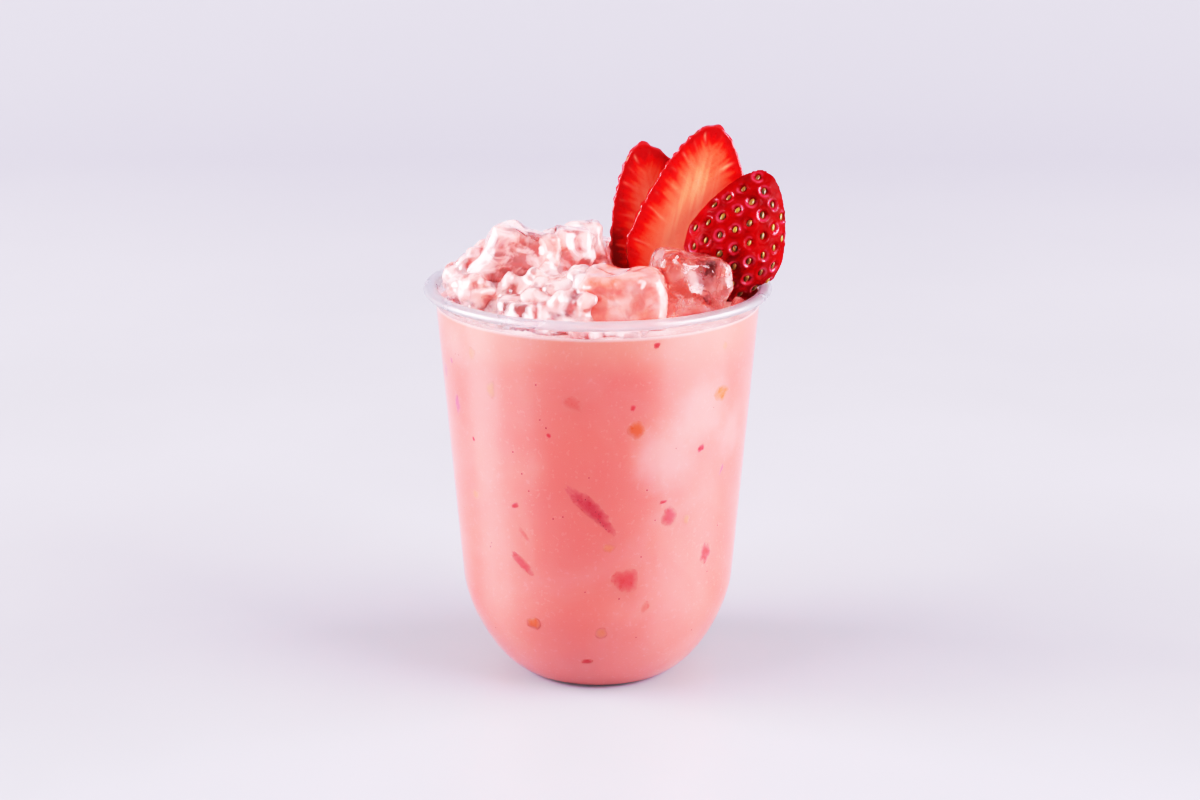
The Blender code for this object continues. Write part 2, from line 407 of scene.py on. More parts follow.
# Crushed ice ----------------------------------------------------------------
# Splinters that broke off the blocks, 3 to 6 mm across. They have frozen together into one lumpy
# mass, which fills the heap's gaps and floats round it.

CHIPS = 520
CHIP_APART = 1.9 * MM
CHIP_FACES = 9  # flat faces that each splinter is broken to
CHIP_TRIES = 16000
CHIP_REACH = (1.5, 3.1)  # mm from a splinter's middle to its surface
HEAP_RADIUS = 40.5 * MM
HEAP_RIGHT = 12 * MM  # past which the slices and the clear ice stand alone
HEAP_HEIGHTS = (-0.5, 20.0)  # mm over the drink
DRINK_LEVEL = 104.8 * MM
FROZEN_SHUT = 1.3 * MM  # half the width of the gaps that have frozen shut
CHIP_BREAKS = 4200  # flat faces that the frozen mass is broken into
CHIP_EDGE_ROUNDS = 2
CHIP_GRID = 0.5 * MM
KEPT_OPEN = (  # spaces over the drink that hold nothing, from and to, in mm
    ((-1.0, -13.0, 105.1), (8.5, 5.0, 110.3)),
    ((11.5, 13.5, 105.1), (29.0, 30.5, 110.3)),
)


def add_chip(bm, spot, reach, draw):
    """A splinter with flat broken faces and melted edges."""
    planes = []
    for _ in range(CHIP_FACES):
        way = Vector([draw.gauss(0, 1) for _ in range(3)]).normalized()
        planes.append((way, draw.uniform(0.6, 1.0)))
    shift = Vector([draw.uniform(0, 50) for _ in range(3)])
    made_here = bmesh.ops.create_icosphere(bm, subdivisions=2, radius=1.0)
    for vertex in made_here["verts"]:
        way = vertex.co.normalized()
        total = sum(max(0.0, way.dot(plane) / far) ** 16 for plane, far in planes)
        length = min(total ** (-1 / 16) if total > 0 else 1.25, 1.25)
        length += 0.05 * noise.noise(way * 1.5 + shift)
        vertex.co = spot + way * length * reach
        keep_inside(vertex.co)


def open_space_off(spot):
    """How far a place is from the nearest space that stays open."""
    return min(
        math.hypot(*(max(low[i] * MM - spot[i], 0.0, spot[i] - high[i] * MM) for i in range(3)))
        for low, high in KEPT_OPEN
    )


def move_skin(piece, distance):
    """Moves the piece's whole skin outwards, or inwards where the distance is negative."""
    moved = piece.modifiers.new("moved_skin", "DISPLACE")
    moved.mid_level = 0.0
    moved.strength = distance
    return made(piece)


def sides_of(pieces):
    """A tree of the pieces' faces, to measure distances to."""
    points = []
    faces = []
    for piece in pieces:
        start = len(points)
        points.extend(vertex.co.copy() for vertex in piece.data.vertices)
        faces.extend([start + i for i in face.vertices] for face in piece.data.polygons)
    return BVHTree.FromPolygons(points, faces)


sides = [sides_of([block]) for block in blocks.values()]
draw = random.Random(31)
chips = []
for _ in range(CHIP_TRIES):
    turn = draw.uniform(0, 2 * math.pi)
    out = HEAP_RADIUS * math.sqrt(draw.random())
    spot = Vector((out * math.cos(turn), out * math.sin(turn), 0.0))
    spot.z = DRINK_LEVEL + draw.uniform(*HEAP_HEIGHTS) * MM
    reach = draw.uniform(*CHIP_REACH) * MM
    if spot.x > HEAP_RIGHT or open_space_off(spot) < 1.3 * reach:
        continue
    # A splinter floats beside a block, or sits on one with another not far off.
    gaps = sorted(side.find_nearest(spot)[3] for side in sides)
    afloat = spot.z < DRINK_LEVEL + 1.0 * MM and gaps[0] < 5 * MM
    most = 4.5 * MM if spot.z < DRINK_LEVEL + 9 * MM else 2.6 * MM
    wedged = gaps[0] < 0.9 * MM and gaps[1] < most
    if not (afloat or wedged):
        continue
    if any((spot - other).length < CHIP_APART for other, _ in chips):
        continue
    chips.append((spot, reach))
    if len(chips) == CHIPS:
        break
bm = bmesh.new()
for spot, reach in chips:
    add_chip(bm, spot, reach, draw)
mesh = bpy.data.meshes.new("crushed_ice")
bm.to_mesh(mesh)
bm.free()
outwards(mesh)
crushed = new_piece("crushed_ice", mesh)
fine_skin(crushed, CHIP_GRID)
move_skin(crushed, FROZEN_SHUT)
fine_skin(crushed, CHIP_GRID)
move_skin(crushed, -FROZEN_SHUT)
broken_flat(crushed, CHIP_BREAKS)
fine_skin(crushed, CHIP_GRID)
smoothed(crushed, CHIP_EDGE_ROUNDS)
dress(crushed, splinters)
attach(crushed, "root")

# Strawberry slices ----------------------------------------------------------
# A fresh strawberry is cut lengthwise. Two slabs from its middle show flesh on both faces, and
# the end slice keeps its domed skin. They are stood in the ice and lean on the rim.

BERRIES = {  # tip, turns, length, radius, widest place, bluntness, slab's back and front
    "strawberry_right": ((48.3, 9.6, 145.4), (-7, 22.5, 0), 47.0, 15.1, 28.0, 0.68, 6.4, 16.0),
    "strawberry_middle": ((32.4, 10.0, 151.9), (-7, 12.5, 0), 51.0, 17.0, 36.0, 0.57, -2.0, 2.0),
    "strawberry_left": ((11.5, 14.6, 146.3), (-7, -15, 0), 44.0, 16.0, 30.0, 0.64, -1.9, 1.9),
}
TIP_POWER = 1.3
SLICE_GRID = 0.3 * MM  # the size of the cut faces' facets
KNIFE_MARKS = 0.08  # mm
RIPER = {"strawberry_left": 1.5}  # mm that the red goes deeper


def berry_radius(name, down):
    """The berry's radius at a distance down from its tip, in mm."""
    _, _, length, radius, widest, bluntness, _, _ = BERRIES[name]
    down = max(0.0, down)
    if down < widest:
        return radius * (1 - (1 - down / widest) ** TIP_POWER) ** bluntness
    return radius * math.sqrt(max(0.0, 1 - ((down - widest) / (length - widest)) ** 2))


def berry_frame(name):
    """From the berry's own frame: its tip at the origin and its axis down -Z."""
    tip, turns, *_ = BERRIES[name]
    place = Matrix.Translation(Vector(tip) * MM)
    for axis, angle in zip("XYZ", turns):
        place @= Matrix.Rotation(math.radians(angle), 4, axis)
    return place


flesh, tree, shader = new_material(
    "cut_strawberry_flesh",
    IOR=1.3,
    Subsurface_Weight=0.3,
    Subsurface_Radius=(1.0, 0.25, 0.15),
    Subsurface_Scale=1.2 * MM,
    Coat_Roughness=0.12,
)
place = add(tree, "ShaderNodeTexCoord").outputs["Object"]
depth = add(tree, "ShaderNodeAttribute", attribute_name="skin_depth").outputs["Fac"]
strand = add(tree, "ShaderNodeAttribute", attribute_name="strand").outputs["Fac"]
middle = add(tree, "ShaderNodeAttribute", attribute_name="core").outputs["Fac"]
# The red stops 1.5 to 4 mm under the skin, in a ragged edge.
ragged = add(
    tree, "ShaderNodeTexNoise", {"Vector": place, "Scale": 420.0, "Detail": 4.0, "Roughness": 0.6}
)
wander = add(tree, "ShaderNodeMath", [ragged, 3.0, -1.5], operation="MULTIPLY_ADD")
level = add(tree, "ShaderNodeMath", [depth, wander], operation="ADD")
share = add(tree, "ShaderNodeMath", [level, 12.0], operation="DIVIDE")
red_to_core = add(
    tree,
    "ShaderNodeValToRGB",
    [share],
    stops=[
        (0.0, "#980408"),
        (0.12, "#B80608"),
        (0.24, "#C80C06"),
        (0.32, "#D43218"),
        (0.46, "#D85034"),
        (1.0, "#DE6446"),
    ],
)
streaked = add(
    tree, "ShaderNodeMix", {"Factor": middle, SHOWN: red_to_core, OVER: "#E68A70"}, data_type="RGBA"
)
stranded = add(
    tree, "ShaderNodeMix", {"Factor": strand, SHOWN: streaked, OVER: "#E07E66"}, data_type="RGBA"
)
grain = add(tree, "ShaderNodeTexNoise", {"Vector": place, "Scale": 1500.0, "Detail": 2.0})
relief = add(tree, "ShaderNodeMath", [ragged, grain], operation="ADD")
bump = add(tree, "ShaderNodeBump", {"Height": relief, "Strength": 0.4, "Distance": 0.2 * MM})
moist = add(tree, "ShaderNodeMapRange", [grain, 0.3, 0.7, 0.25, 0.45])
# Only the thin edge of skin is glossy.
gloss = add(tree, "ShaderNodeMapRange", [depth, 0.3, 1.0, 0.3, 0.0])
looks = {"Base Color": stranded, "Coat Weight": gloss, "Roughness": moist, "Normal": bump}
feed(tree, shader, looks)

STRAND_EVERY = 8.6  # mm from one strong vessel's branch to the next, with a weak one between
STRAND_DROP = 8.0  # mm that a branch rises from the core to the edge


def limited(value):
    """The value, held between 0 and 1."""
    return max(0.0, min(1.0, value))


def add_layer(mesh, label, values):
    """Stores a value for each corner point of the mesh, for its material to read."""
    layer = mesh.attributes.new(label, "FLOAT", "POINT")
    layer.data.foreach_set("value", values)


def flesh_layers(mesh, name):
    """Stores how deep each point is under the skin, and the vessels that pass it."""
    into = berry_frame(name).inverted()
    depths = []
    strands = []
    cores = []
    for vertex in mesh.vertices:
        spot = into @ vertex.co / MM
        down = -spot.z
        radius = max(berry_radius(name, down), 1.0)
        below = radius - math.hypot(spot.x, spot.y)
        across = min(abs(spot.x) / radius, 1.0)
        rise = STRAND_DROP * (1 - across) ** 1.4
        fibre = Vector((spot.x / 6, (down - rise) / 0.9, spot.y / 5))
        below_shown = below + 2.6 * noise.noise(fibre) * limited(below / 2)
        # The red goes 3 mm deeper at the tip than along the sides.
        below_shown -= 3.0 * math.exp(-((down / 4) ** 2))
        below_shown -= RIPER.get(name, 0.0)
        bent = down - rise + 1.6 * noise.noise(Vector((spot.x / 9, down / 9, spot.y / 9)))
        value = 0.0
        for offset, strength in ((0.0, 0.75), (0.5, 0.3)):
            phase = bent / STRAND_EVERY + offset
            away = abs(phase - round(phase)) * STRAND_EVERY
            wide = 0.2 + 0.6 * (1 - across)
            value = max(value, strength * math.exp(-((away / wide) ** 2)))
        fades = limited((below - 1.0) / 1.2) * limited((across - 0.2) / 0.3)
        broken = 0.45 + 1.3 * noise.noise(spot / 4.4 + Vector((9.0, 4.0, 2.0)))
        along = Vector((spot.x / 1.0, down / 16, spot.y / 4))
        streak = limited(0.35 + 1.6 * noise.noise(along) + 0.5 * noise.noise(along * 2.3))
        pith = math.exp(-((spot.x / (0.5 * radius)) ** 4)) * limited((down - 6) / 9)
        axis = math.exp(-(((spot.x + 0.6 + 1.2 * noise.noise(spot / 9)) / 0.55) ** 2))
        depths.append(below_shown)
        strands.append(limited(value * fades * broken))
        pale = 0.1 + 0.9 * limited((down - 12) / 22)
        cores.append(limited(pith * (pale + 0.35 * streak + 0.35 * axis)))
    add_layer(mesh, "skin_depth", depths)
    add_layer(mesh, "strand", strands)
    add_layer(mesh, "core", cores)


SEED_SPACING = 4.6
SEED_TURN = math.radians(137.5)
PIT_DEPTH = 0.75
PIT_WIDTH = 1.15


def seed_places(name):
    """Places along a spiral that winds down the berry, as (down in mm, angle)."""
    down = SEED_SPACING / 2
    angle = 0.0
    while down < BERRIES[name][2] - SEED_SPACING / 2:
        yield down, angle
        angle += SEED_TURN
        radius = berry_radius(name, down)
        slope = math.atan2(berry_radius(name, down + 1) - radius, 1)
        down += SEED_SPACING**2 / (2 * math.pi * radius) * math.cos(slope)


def pits_of(name, low, high):
    """Where the berry's seeds lie, as matrices in mm, between two depths of its own frame."""
    pits = []
    for down, angle in seed_places(name):
        radius = berry_radius(name, down)
        slope = math.atan2(berry_radius(name, down + 1) - radius, 1)
        out = Matrix.Translation((0.0, -radius, -down)) @ Matrix.Rotation(-slope, 4, "X")
        if low < radius * math.cos(angle) < high:
            pits.append(Matrix.Rotation(angle, 4, "Z") @ out)
    return pits


seed_pits = {}
for node in ("strawberry_left", "strawberry_middle"):
    piece = merged_copy(node, "cut_" + node)
    fine_skin(piece, SLICE_GRID)
    into = berry_frame(node).inverted()
    turned_back = into.to_3x3()
    pits = pits_of(node, BERRIES[node][6] + 0.3, BERRIES[node][7] - 0.3)
    seed_pits[node] = pits
    mesh = piece.data
    for vertex, normal in corners_of(mesh):
        spot = into @ vertex.co / MM
        below = berry_radius(node, -spot.z) - math.hypot(spot.x, spot.y)
        side = 1 - abs((turned_back @ normal).y)
        # The seeds' pits notch the skin, and the knife leaves the faces slightly uneven.
        nearest = min((spot - lies.translation).length for lies in pits) if below < 2 else 9.0
        notch = PIT_DEPTH * math.exp(-((nearest / PIT_WIDTH) ** 2))
        notch -= 0.25 * math.exp(-(((nearest - 2.0) / 0.7) ** 2))
        notch -= 0.5 * noise.noise(Vector((spot.x / 1.9, spot.y / 5, spot.z / 1.9)))
        vertex.co -= normal * MM * notch * limited(1.6 - below) * side
        vertex.co += normal * MM * KNIFE_MARKS * noise.noise(spot / 3)
    flesh_layers(mesh, node)
    dress(piece, flesh)
    mesh.update()
    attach(piece, "root")
    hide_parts(node)
    blocks[node] = piece

# End slice ------------------------------------------------------------------
# The strawberry's outer cheek: glossy wet skin, pitted by about one seed to each 20 mm2. Each
# seed is a dry, teardrop-shaped achene of olive to straw yellow, glued into its pit by nature.

node = "strawberry_right"
onto = berry_frame(node)
into = onto.inverted()
cut = BERRIES[node][6]
pits = pits_of(node, cut + 0.5, 99)
seed_pits[node] = pits

skin, tree, shader = new_material(
    "wet_strawberry_skin",
    IOR=1.35,
    Specular_IOR_Level=0.02,
    Subsurface_Weight=0.1,
    Subsurface_Radius=(1.0, 0.1, 0.08),
    Subsurface_Scale=0.8 * MM,
    Coat_Roughness=0.08,
    Coat_IOR=1.4,
)
place = add(tree, "ShaderNodeTexCoord").outputs["Object"]
pit = add(tree, "ShaderNodeAttribute", attribute_name="pit").outputs["Fac"]
ring = add(tree, "ShaderNodeAttribute", attribute_name="ring").outputs["Fac"]
blush = add(tree, "ShaderNodeTexNoise", {"Vector": place, "Scale": 160.0, "Detail": 3.0})
red = add(
    tree,
    "ShaderNodeValToRGB",
    [blush],
    stops=[(0.32, "#5E0204"), (0.52, "#730204"), (0.7, "#8A0307")],
)
# Painted shade: the skin is painted darker down in the seeds' pits.
deep = add(tree, "ShaderNodeMath", [pit, 2.5], operation="POWER")
pit_shaded_red = add(tree, "ShaderNodeMix", {"Factor": deep, SHOWN: red, OVER: "#4C0204"}, data_type="RGBA")
# Juice and water lie on the skin in patches 4 to 8 mm wide, which shine.
patches = add(tree, "ShaderNodeTexNoise", {"Vector": place, "Scale": 240.0, "Detail": 2.0})
wetness = add(tree, "ShaderNodeMapRange", [patches, 0.46, 0.58, 0.02, 1.0])
# It stands highest round the pits, as glossy rings, and there a pink-magenta highlight is also
# painted into the skin's colour.
ring_gloss_and_highlight = add(tree, "ShaderNodeMath", [wetness, ring], operation="MULTIPLY")
painted_ring_highlight = add(tree, "ShaderNodeMath", [ring_gloss_and_highlight, 0.5], operation="MULTIPLY")
highlight_painted_skin = add(
    tree, "ShaderNodeMix", {"Factor": painted_ring_highlight, SHOWN: pit_shaded_red, OVER: "#C8405E"}, data_type="RGBA"
)
grain = add(tree, "ShaderNodeTexNoise", {"Vector": place, "Scale": 900.0, "Detail": 3.0})
sheen = add(tree, "ShaderNodeMapRange", [grain, 0.3, 0.7, 0.2, 0.42])
bump = add(tree, "ShaderNodeBump", {"Height": grain, "Strength": 0.2, "Distance": 0.2 * MM})
looks = {"Base Color": highlight_painted_skin, "Coat Weight": ring_gloss_and_highlight, "Roughness": sheen, "Normal": bump}
feed(tree, shader, looks)

CHEEK_GRID = 0.28 * MM
piece = merged_copy(node, "cut_" + node)
fine_skin(piece, CHEEK_GRID)
mesh = piece.data
pit_values = []
ring_values = []
for vertex in mesh.vertices:
    spot = into @ vertex.co / MM
    down = -spot.z
    radius = berry_radius(node, down)
    out = math.hypot(spot.x, spot.y)
    domed = out > radius - 0.45 and -spot.y > cut + 0.05
    value = 0.0
    ringed = 0.1
    if domed and out > 0.5:
        reach = radius
        nearest = min((spot - lies.translation).length for lies in pits)
        value = math.exp(-((nearest / PIT_WIDTH) ** 2))
        reach += 0.12 * noise.noise(spot / 4) - PIT_DEPTH * value
        ringed = 0.06 + 0.94 * math.exp(-(((nearest - 1.5) / 0.3) ** 2))
        reach += 0.22 * math.exp(-(((nearest - 1.9) / 0.6) ** 2))
        reach = min(reach, radius + 0.25)
        reach = radius + (reach - radius) * limited((radius - 1) / 2)
        spot.x *= reach / out
        spot.y *= reach / out
        vertex.co = onto @ (spot * MM)
    pit_values.append(value)
    ring_values.append(ringed)
add_layer(mesh, "pit", pit_values)
add_layer(mesh, "ring", ring_values)
flesh_layers(mesh, node)
dress(piece, skin, flesh)
for face in mesh.polygons:
    spot = into @ face.center / MM
    inside = math.hypot(spot.x, spot.y) < berry_radius(node, -spot.z) - 0.45
    face.material_index = 1 if inside and -spot.y < cut + 0.4 else 0
mesh.update()
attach(piece, "root")
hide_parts(node)
blocks[node] = piece

achene, tree, shader = new_material(
    "strawberry_achene",
    IOR=1.45,
    Coat_Weight=0.15,
    Coat_Roughness=0.2,
)
place = add(tree, "ShaderNodeTexCoord").outputs["Object"]
# Each seed dries to its own tone, from olive to straw, and only its rib still shines.
ripe = add(tree, "ShaderNodeTexNoise", {"Vector": place, "Scale": 420.0, "Detail": 1.0})
straw = add(
    tree, "ShaderNodeValToRGB", [ripe], stops=[(0.3, "#4A3208"), (0.5, "#6A4A10"), (0.7, "#8C6A1C")]
)
dry = add(tree, "ShaderNodeMapRange", [ripe, 0.3, 0.7, 0.35, 0.55])
feed(tree, shader, {"Base Color": straw, "Roughness": dry})

HALVES = ("Half width", "Half depth", "Half length")
scatter = bpy.data.node_groups.new("scatter_on_points", "GeometryNodeTree")
scatter.interface.new_socket("Geometry", in_out="INPUT", socket_type="NodeSocketGeometry")
sockets = {
    label: scatter.interface.new_socket(label, in_out="INPUT", socket_type="NodeSocketFloat")
    for label in HALVES
}
sockets["Material"] = scatter.interface.new_socket(
    "Material", in_out="INPUT", socket_type="NodeSocketMaterial"
)
scatter.interface.new_socket("Geometry", in_out="OUTPUT", socket_type="NodeSocketGeometry")
given = add(scatter, "NodeGroupInput")
ball = add(scatter, "GeometryNodeMeshUVSphere", {"Segments": 8, "Rings": 6, "Radius": 1.0})
size = add(scatter, "ShaderNodeCombineXYZ", [given.outputs[label] for label in HALVES])
grown = add(scatter, "GeometryNodeTransform", {"Geometry": ball, "Scale": size})
named = "GeometryNodeInputNamedAttribute"
turns = add(scatter, named, {"Name": "turn"}, data_type="FLOAT_VECTOR")
turned = add(scatter, "FunctionNodeEulerToRotation", [turns])
swell = add(scatter, named, {"Name": "swell"}, data_type="FLOAT")
points = given.outputs["Geometry"]
scales = {"Points": points, "Instance": grown, "Rotation": turned, "Scale": swell}
placed = add(scatter, "GeometryNodeInstanceOnPoints", scales)
solid = add(scatter, "GeometryNodeRealizeInstances", [placed])
smooth = add(scatter, "GeometryNodeSetShadeSmooth", [solid])
finish = {"Geometry": smooth, "Material": given.outputs["Material"]}
coated = add(scatter, "GeometryNodeSetMaterial", finish)
add(scatter, "NodeGroupOutput", [coated])


def scattered(name, places, sizes, material, seed):
    """A piece of little ovals of (half width, depth, length), one at each of the places."""
    draw = random.Random(seed)
    points = bpy.data.meshes.new(name)
    points.from_pydata([place.translation for place in places], [], [])
    layer = points.attributes.new("turn", "FLOAT_VECTOR", "POINT")
    layer.data.foreach_set("vector", [c for place in places for c in place.to_euler()])
    add_layer(points, "swell", [draw.uniform(0.85, 1.1) for _ in places])
    piece = new_piece(name, points)
    modifier = piece.modifiers.new("scatter", "NODES")
    modifier.node_group = scatter
    for label, value in zip(HALVES, sizes):
        modifier[sockets[label].identifier] = value
    modifier[sockets["Material"].identifier] = material
    return made(piece)


draw = random.Random(4)
nests = []
for label, pits in seed_pits.items():
    onto = berry_frame(label) @ Matrix.Diagonal((MM, MM, MM, 1.0))
    for lies in pits:
        tilted = Matrix.Rotation(math.radians(draw.uniform(-14, 14)), 4, "Y")
        spot, turn, _ = (onto @ lies @ Matrix.Translation((0.0, 0.5, 0.0)) @ tilted).decompose()
        if spot.z > DRINK_LEVEL + 0.5 * MM:
            nests.append(Matrix.Translation(spot) @ turn.to_matrix().to_4x4())
SEED_HALVES = (0.64 * MM, 0.4 * MM, 1.1 * MM)
seeds = scattered("strawberry_seeds", nests, SEED_HALVES, achene, 5)
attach(seeds, "root")

# Drink ----------------------------------------------------------------------
# Cold milk tea with strawberry syrup and crushed fruit, stirred to an even opaque pink. It is
# poured over the ice to just under the rim, wets the wall, and carries a paler froth on top.

INTO_WALL = 0.15 * MM  # the drink reaches this far into the wall, so that no air gap shows
DRINK_INSET = WALL - INTO_WALL
MENISCUS = 0.5 * MM
CLIMB = 0.9 * MM  # how high the drink climbs up the ice and the fruit
RIPPLE, RIPPLE_ACROSS = 0.2 * MM, 9 * MM
OVERLAP = 0.12  # mm that ice and fruit reach into the drink, so that no gap shows
TOP_RINGS = 90

milk, tree, shader = new_material(
    "strawberry_milk_tea",
    IOR=1.36,
    Subsurface_Weight=0.4,
    Subsurface_Radius=(1.0, 0.4, 0.35),
    Subsurface_Scale=3.0 * MM,
)
place = add(tree, "ShaderNodeTexCoord").outputs["Object"]
froth = add(tree, "ShaderNodeAttribute", attribute_name="froth").outputs["Fac"]
# Milk and syrup are stirred in swirls that are 15 to 40 mm wide and faint.
swirl = add(
    tree, "ShaderNodeTexNoise", {"Vector": place, "Scale": 40.0, "Detail": 3.0, "Distortion": 1.2}
)
pink = add(
    tree,
    "ShaderNodeValToRGB",
    [swirl],
    stops=[(0.34, "#EB8276"), (0.5, "#EB867A"), (0.68, "#EC8B80")],
)
# Blocks of ice lie against the wall in places, and the milk over them is thin and pale.
edge = add(
    tree, "ShaderNodeTexNoise", {"Vector": place, "Scale": 130.0, "Detail": 4.0, "Roughness": 0.55}
)
paled = pink
for angle, height, across in (
    (25, 72, 9.0),
    (41, 83, 8.5),
    (58, 74, 6.0),
    (-60, 98, 5.0),
    (118, 62, 9.0),
    (200, 66, 10.0),
    (212, 80, 7.0),
    (262, 88, 7.5),
):
    turn = math.radians(angle)
    reach = wall_radius(height * MM) - WALL
    against = (reach * math.sin(turn), -reach * math.cos(turn), height * MM)
    away = add(tree, "ShaderNodeVectorMath", [place, against], operation="DISTANCE")
    near = add(tree, "ShaderNodeMath", [edge, 9 * MM, away], operation="MULTIPLY_ADD")
    shown = add(
        tree,
        "ShaderNodeMapRange",
        [near, (across + 8) * MM, (across * 0.4 + 3) * MM, 0.0, 0.5],
        interpolation_type="SMOOTHSTEP",
    )
    paled = add(
        tree, "ShaderNodeMix", {"Factor": shown, SHOWN: paled, OVER: "#F4AEA7"}, data_type="RGBA"
    )
# The drink is painted paler towards the foot, a painted light that makes up for the shade where the
# wall curves under. Towards the top it is paler too, where the cream rises.
axes = add(tree, "ShaderNodeSeparateXYZ", [place])
for starts, ends, most, tint in ((30, 2, 0.42, "#F4A8A0"), (91, 105, 0.36, "#F6AC97")):
    painted_foot_light_and_cream = add(
        tree,
        "ShaderNodeMapRange",
        [axes.outputs["Z"], starts * MM, ends * MM, 0.0, most],
        interpolation_type="SMOOTHSTEP",
    )
    paled = add(
        tree, "ShaderNodeMix", {"Factor": painted_foot_light_and_cream, SHOWN: paled, OVER: tint}, data_type="RGBA"
    )
frothed = add(
    tree, "ShaderNodeMix", {"Factor": froth, SHOWN: paled, OVER: "#FAC4BD"}, data_type="RGBA"
)
bubbles = add(tree, "ShaderNodeTexNoise", {"Vector": place, "Scale": 900.0, "Detail": 2.0})
bump = add(tree, "ShaderNodeBump", {"Height": bubbles, "Strength": 0.05, "Distance": 0.1 * MM})
wet = add(tree, "ShaderNodeMapRange", [bubbles, 0.3, 0.7, 0.12, 0.3])
feed(tree, shader, {"Base Color": frothed, "Roughness": wet, "Normal": bump})

standing = sides_of(blocks.values())
top_edge = DRINK_LEVEL + MENISCUS
reach = wall_radius(top_edge) - DRINK_INSET
line = [(reach, top_edge)]
for fall in (0.3, 0.6, 0.9, 1.3, 2.0, 3.0):
    line.append((wall_radius(top_edge - fall * MM) - DRINK_INSET, top_edge - fall * MM))
line += wall_line(top_edge - 4.5 * MM, DRINK_INSET, DRINK_INSET)
points = [(0.0, 0.0, DRINK_LEVEL)]
for i in range(1, TOP_RINGS):
    radius = reach * (1 - (1 - i / TOP_RINGS) ** 1.15)
    for k in range(ROUND):
        angle = 2 * math.pi * k / ROUND
        spot = Vector((radius * math.cos(angle), radius * math.sin(angle), DRINK_LEVEL))
        _, _, _, away = standing.find_nearest(spot)
        height = DRINK_LEVEL + RIPPLE * noise.noise(spot / RIPPLE_ACROSS)
        height += MENISCUS * math.exp(-(reach - radius) / MM)
        height += CLIMB * math.exp(-away / CLIMB)
        points.append((spot.x, spot.y, height))
for radius, height in line:
    for k in range(ROUND):
        angle = 2 * math.pi * k / ROUND
        points.append((radius * math.cos(angle), radius * math.sin(angle), height))
points.append((0.0, 0.0, DRINK_INSET))
rows = (len(points) - 2) // ROUND
faces = []
for k in range(ROUND):
    n = (k + 1) % ROUND
    faces.append((0, 1 + k, 1 + n))
    faces.append((len(points) - 1, len(points) - 1 - ROUND + n, len(points) - 1 - ROUND + k))
for row in range(rows - 1):
    start = 1 + row * ROUND
    for k in range(ROUND):
        n = (k + 1) % ROUND
        faces.append((start + k, start + ROUND + k, start + ROUND + n, start + n))
mesh = bpy.data.meshes.new("poured_drink")
mesh.from_pydata(points, [], faces)
outwards(mesh)
drink = new_piece("poured_drink", mesh, milk)

cutters = bpy.data.collections.new("places_of_ice_and_fruit")
bpy.context.scene.collection.children.link(cutters)
for label, block in blocks.items():
    shape = block.data.copy()
    for vertex, normal in corners_of(shape):
        vertex.co -= normal * OVERLAP * MM
    shape.materials.clear()
    cutter = bpy.data.objects.new("place_of_" + label, shape)
    cutters.objects.link(cutter)
hollow = drink.modifiers.new("hollow", "BOOLEAN")
hollow.operation = "DIFFERENCE"
hollow.solver = "MANIFOLD"
hollow.operand_type = "COLLECTION"
hollow.collection = cutters
made(drink)
for cutter in list(cutters.objects):
    bpy.data.objects.remove(cutter)
bpy.data.collections.remove(cutters)
mesh = drink.data
dress(drink, milk)
FROTH_FOOT, FROTH_DEEP = DRINK_LEVEL - 0.3 * MM, 0.6 * MM
froth_values = [limited((vertex.co.z - FROTH_FOOT) / FROTH_DEEP) for vertex in mesh.vertices]
add_layer(mesh, "froth", froth_values)
for face in mesh.polygons:
    face.use_smooth = True
mesh.update()
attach(drink, "root")
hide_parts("drink")

# Fruit bits -----------------------------------------------------------------
# Crushed strawberry that was stirred into the drink: red shreds of flesh and single seeds. Those
# that show press against the inside of the wall, and the milk veils their edges.

BITS = [  # degrees round from the front, height, length, width, lean in degrees, finish
    (-2.2, 57.9, 16.6, 3.4, 136, "shred"),
    (28.4, 54.3, 5.4, 3.5, 4, "red"),
    (48.8, 40.6, 5.4, 3.6, -4, "red"),
    (11.3, 37.4, 6.3, 5.6, 20, "red"),
    (-31.5, 40.4, 7.5, 2.2, 128, "red"),
    (41.6, 72.2, 2.8, 1.4, 47, "scarlet"),
    (54.9, 64.0, 3.4, 0.9, 29, "magenta"),
    (12.5, 86.3, 1.6, 1.1, 10, "scarlet"),
    (-17.7, 78.3, 1.2, 1.1, 0, "scarlet"),
    (-53.2, 72.8, 1.4, 0.9, 138, "scarlet"),
    (-33.3, 57.0, 2.2, 1.2, 54, "scarlet"),
    (25.5, 58.9, 2.2, 0.8, 80, "scarlet"),
    (-5.2, 11.8, 2.6, 1.1, 84, "scarlet"),
    (20.4, 103.0, 1.5, 1.3, 20, "scarlet"),
    (-65.4, 92.8, 1.6, 1.4, 150, "magenta"),
    (-63.6, 81.0, 4.9, 2.6, 4, "magenta"),
    (-74.0, 88.5, 4.4, 2.4, 6, "magenta"),
    (14.0, 80.1, 4.0, 3.6, 150, "orange"),
    (50.6, 86.4, 4.4, 4.0, 0, "orange"),
    (-41.1, 88.8, 4.3, 2.3, 8, "straw"),
    (-27.9, 23.1, 3.4, 2.4, 80, "orange"),
    (1.4, 21.8, 2.7, 2.2, 0, "straw"),
    (4.4, 47.0, 2.4, 2.2, 0, "straw"),
    (36.5, 52.6, 2.5, 1.6, 0, "straw"),
    (50.3, 99.5, 2.2, 1.5, 160, "straw"),
    (-49.8, 97.5, 3.3, 2.0, 8, "straw"),
    (-55.4, 56.5, 2.4, 2.6, 0, "straw"),
    (-8.7, 87.6, 5.0, 2.6, 119, "faint"),
    (-30.0, 49.0, 4.5, 1.2, 140, "faint"),
    (20.0, 29.0, 3.6, 1.4, 30, "faint"),
]
MORE_BITS = 34  # that lie round the sides and the back
STANDS_OUT = 0.12 * MM  # how far a bit's middle stands out of the drink, into the wall
DRAWN_LONGER, DRAWN_WIDER = 1.3, 1.5  # a bit's ragged and veiled edge takes that much off it


